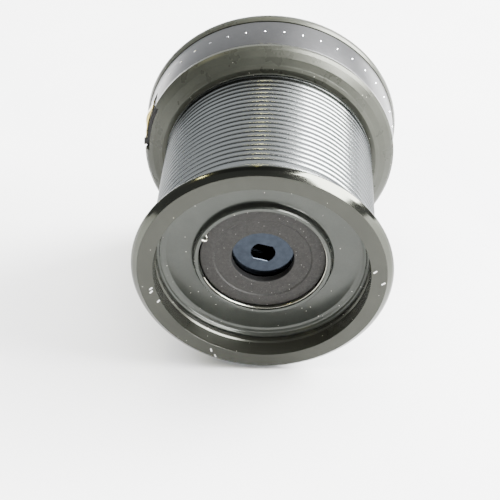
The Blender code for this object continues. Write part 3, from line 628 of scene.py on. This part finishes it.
def make_top_washer():
    """The friction washer that shows, with the drag plate's imprint pressed into it."""
    profile = rounded([
        (WASHER_START, CUP_RADIUS - WASHER_CLEARANCE, 0.2),
        (WASHER_START, IMPRINT_RADIUS + 0.05, 0.1),
        (WASHER_START + IMPRINT_DEPTH, IMPRINT_RADIUS - 0.3, 0.1),
        (WASHER_START + IMPRINT_DEPTH, WASHER_HOLE + 0.05, 0.3),
        (WASHER_END, WASHER_HOLE, 0.1),
        (WASHER_END, CUP_RADIUS - WASHER_CLEARANCE, 0.2),
    ])
    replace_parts(ring("friction_top", profile, FIBRE, "spool"), "friction_washer_top")


def double_d(grow):
    """The radius of the shaft opening at each angle."""
    def radius(angle):
        across = abs(math.sin(math.radians(angle - SHAFT_TILT)))
        return min(SHAFT_RADIUS + grow, (SHAFT_FLAT + grow) / max(across, 0.001))
    return radius


def make_key_washer():
    """The dark steel washer under it, keyed to the main shaft; its blue tint is a painted reflection."""
    profile = [
        (KEY_START, double_d(SHAFT_BEVEL)),
        (KEY_START, KEY_RADIUS - 0.15),
        (KEY_START + 0.15, KEY_RADIUS),
        (KEY_END - 0.15, KEY_RADIUS),
        (KEY_END, KEY_RADIUS - 0.15),
        (KEY_END, double_d(SHAFT_BEVEL)),
        (KEY_END - SHAFT_BEVEL, double_d(0.0)),
        (KEY_START + SHAFT_BEVEL, double_d(0.0)),
    ]
    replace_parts(ring("key_top", profile, KEY_BLUE_REFLECTION, "shaft_side", 35), "key_washer_top")


def clip_window(name, s0, s1, deep, start, end):
    """A cutter for the line clip's place, from the radius deep outwards."""
    outline = [(s0, deep), (s0, WINDOW_OUTER), (s1, WINDOW_OUTER), (s1, deep)]
    return sector(name, outline, start, end, 24, SILVER, "spool")


def make_flange():
    """Sloped olive ring behind the drum, notched for the line clip."""
    profile = rounded([
        (FLANGE_START, FLANGE_BORE, 0.1),
        (FLANGE_START, 30.9, 0.3),
        (FLANGE_START + 0.45, 31.75, 0.5),
        (FLANGE_START + 0.6, 32.0, 0.3),
        (FLANGE_START + 1.5, 33.8, 1.5),
        (FLANGE_START + 2.6, 35.5, 0.8),
        (FLANGE_EDGE, FLANGE_RADIUS, 0.25),
        (FLANGE_BACK, FLANGE_RADIUS - 0.05, 0.2),
        (FLANGE_BACK, 34.7),
        (FLANGE_START + 2.5, FLANGE_BORE),
    ], steps=6)
    flange = ring("flange_ring", profile, OLIVE, "spool")
    deep = FLANGE_RADIUS - NOTCH_DEPTH
    notch = clip_window("notch", FLANGE_START, FLANGE_BACK + 1.0, deep, CLIP_START, CLIP_END - 0.3)
    subtract(flange, notch)
    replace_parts(flange, "rear_flange")


def make_band():
    """Light ring between flange and rim, with a window for the line clip."""
    profile = rounded([
        (BAND_START, BAND_FRONT_RADIUS - BAND_WALL),
        (BAND_START, BAND_FRONT_RADIUS, 0.15),
        (BAND_END, BAND_REAR_RADIUS, 0.12),
        (BAND_END, BAND_REAR_RADIUS - BAND_WALL),
    ])
    band = ring("band_tube", profile, SILVER, "spool")
    end = BAND_START + CLIP_LENGTH + 0.3
    window = clip_window("window", BAND_START - 2.7, end, WINDOW_INNER, CLIP_START - 0.15, CLIP_END + 0.15)
    subtract(band, window)
    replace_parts(band, "skirt_band")


def make_dots():
    """A row of small polished studs round the skirt, as one piece."""
    points, faces = [], []
    sides, rows = 10, 4
    step = 360.0 / DOT_COUNT
    base_r = BAND_FRONT_RADIUS + 0.6 * (DOT_S - BAND_START) / (BAND_END - BAND_START)
    for i in range(DOT_COUNT):
        middle = FIRST_DOT + step * i
        first = len(points)
        points.append(place(DOT_S, base_r + DOT_RISE, middle))
        for k in range(1, rows + 1):
            out, rise = DOT_RADIUS * k / rows, DOT_RISE - DOT_FALL * (k / rows) ** 2
            for j in range(sides):
                a, b = polar(out, 360.0 * j / sides)
                points.append(place(DOT_S + a, base_r + rise, middle + math.degrees(b / base_r)))
        for j in range(sides):
            faces.append((first, first + 1 + j, first + 1 + (j + 1) % sides))
        for k in range(rows - 1):
            a = first + 1 + k * sides
            for j in range(sides):
                n = (j + 1) % sides
                faces.append((a + j, a + sides + j, a + sides + n, a + n))
        a = first + 1 + (rows - 1) * sides
        faces.append(tuple(a + j for j in range(sides)))
    return new_object("band_studs", points, faces, DOT, "spool", 50)


def make_rim():
    """Olive rim at the rear, the widest part."""
    inner = BAND_REAR_RADIUS - BAND_WALL
    profile = rounded([
        (RIM_START, inner),
        (RIM_START, BAND_REAR_RADIUS + 0.17, 0.1),
        (RIM_START + 0.9, RIM_RADIUS - 0.15, 0.6),
        (RIM_CREST, RIM_RADIUS, 0.6),
        (RIM_END - 0.4, RIM_RADIUS - 0.2, 0.4),
        (RIM_END, RIM_RADIUS - 0.6, 0.2),
        (RIM_END, inner, 0.1),
    ], steps=6)
    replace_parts(ring("rim_ring", profile, OLIVE, "spool"), "skirt_rim")


def make_arm():
    """The line clip's tongue: a bright bulge at its free end and a thin leaf to its pin."""
    s0, s1, edge = LEAF_FRONT, LEAF_BACK, LEAF_EDGE
    rows = 40
    points = []
    for i in range(rows + 1):
        t = i / rows
        angle = LEAF_START + (LEAF_END - LEAF_START) * t
        bulge = BULGE_HEIGHT * math.exp(-((angle - BULGE_ANGLE) / BULGE_SPREAD) ** 2)
        top = LEAF_TOP + bulge
        low = LEAF_LOW + 0.1 * bulge
        outline = [
            (s0 + edge, low), (s0, low + edge), (s0, top - edge), (s0 + edge, top),
            (s1 - edge, top), (s1, top - edge), (s1, low + edge), (s1 - edge, low),
        ]
        points += [place(s, r, angle) for s, r in outline]
    faces = skin(rows + 1, 8, closed=False)
    return new_object("clip_leaf", points, faces, GILT, "clip_arm", 45)


# ---------------------------------------------------------------- stage

def make_floor():
    """A pale cloth, tilted so that the lip and the rear rim both rest on it."""
    front = (LIP_PEAK - HALF_LENGTH) * MM
    back = (RIM_CREST - HALF_LENGTH) * MM
    slope = (AXIS_HEIGHT - LIP_RADIUS) * MM / (back - front)
    size = 1.5
    sink = 0.06 * MM
    points = [(x, y, (back - y) * slope - sink) for x in (-size, size) for y in (-size, size)]
    mesh = bpy.data.meshes.new("floor")
    mesh.from_pydata(points, [], [(0, 1, 3, 2)])
    m = Finish("floor_cloth", (0.88, 0.88, 0.895), 0.9, 0.0)
    m.colour(m.mix(m.ramp(m.noise(0.02, 2.0), 0.3, 0.7), (0.865, 0.865, 0.885), (0.90, 0.90, 0.91)))
    mesh.materials.append(m.material)
    floor = bpy.data.objects.new("floor", mesh)
    bpy.context.scene.collection.objects.link(floor)


def area_light(name, azimuth, elevation, distance, width, height, radiance, colour, shiny=True, lights=True):
    """A soft light aimed at the spool. Azimuth is 0 at the back and 90 at the right.

    shiny=False hides it from reflections, and lights=False leaves only its reflection.
    """
    a, e = math.radians(azimuth), math.radians(elevation)
    toward = Vector((math.sin(a) * math.cos(e), math.cos(a) * math.cos(e), math.sin(e)))
    data = bpy.data.lights.new(name, "AREA")
    data.shape = "RECTANGLE"
    data.size = width
    data.size_y = height
    data.energy = radiance * math.pi * width * height
    data.color = colour
    obj = bpy.data.objects.new(name, data)
    obj.location = toward * distance + Vector((0, 0, 0.03))
    obj.rotation_euler = (-toward).to_track_quat("-Z", "Y").to_euler()
    obj.visible_glossy = shiny
    obj.visible_diffuse = lights
    bpy.context.scene.collection.objects.link(obj)


def make_lights():
    """Soft studio light: a key, glossy-only windows, two warm lamps and a pale room."""
    area_light("key", 80.0, 30.0, 1.6, 1.5, 0.85, 56.0, (1.0, 1.0, 0.99), shiny=False)
    area_light("window_right", 97.0, 38.0, 1.6, 2.8, 1.3, 85.0, (1.0, 1.0, 0.99), lights=False)
    area_light("window_back", 33.0, 34.0, 1.6, 1.0, 1.1, 3.0, (1.0, 1.0, 0.99))
    area_light("ceiling_fill", 20.0, 80.0, 1.5, 2.2, 2.2, 7.0, (1.0, 1.0, 1.0), shiny=False)
    area_light("lamp_back", -8.0, 66.0, 1.5, 0.06, 0.28, 60.0, (1.0, 0.93, 0.45))
    area_light("lamp_left", -112.0, 45.0, 1.5, 0.14, 0.14, 70.0, (1.0, 0.90, 0.45))
    world = bpy.data.worlds.new("room")
    bpy.context.scene.world = world
    world.use_nodes = True
    tree = world.node_tree
    background = tree.nodes["Background"]
    coords = tree.nodes.new("ShaderNodeTexCoord")
    parts = tree.nodes.new("ShaderNodeSeparateXYZ")
    tree.links.new(coords.outputs["Generated"], parts.inputs[0])
    both = tree.nodes.new("ShaderNodeMath")
    both.operation = "MULTIPLY"
    tree.links.new(smoothstep(tree, parts.outputs[1], -0.3, 0.7, 0.5, 2.0), both.inputs[0])
    tree.links.new(smoothstep(tree, parts.outputs[2], 0.6, 0.85, 1.0, 0.45), both.inputs[1])
    tree.links.new(both.outputs[0], background.inputs["Strength"])
    background.inputs["Color"].default_value = (0.95, 0.98, 1.0, 1)


def make_camera():
    """The camera at the fitted view."""
    data = bpy.data.cameras.new("camera")
    data.sensor_width = 36.0
    data.lens = 81.86
    data.clip_start = 0.01
    camera = bpy.data.objects.new("camera", data)
    camera.location = (0.01514, -0.25303, 0.22957)
    camera.rotation_euler = (math.radians(50.034), math.radians(2.291), math.radians(2.731))
    bpy.context.scene.collection.objects.link(camera)
    bpy.context.scene.camera = camera


dress_cad()
make_lip()
make_drum()
make_core()
make_wire_clip()
make_top_washer()
make_key_washer()
make_flange()
make_band()
make_dots()
make_rim()
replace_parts(make_arm(), "line_clip_arm")
make_floor()
make_lights()
make_camera()
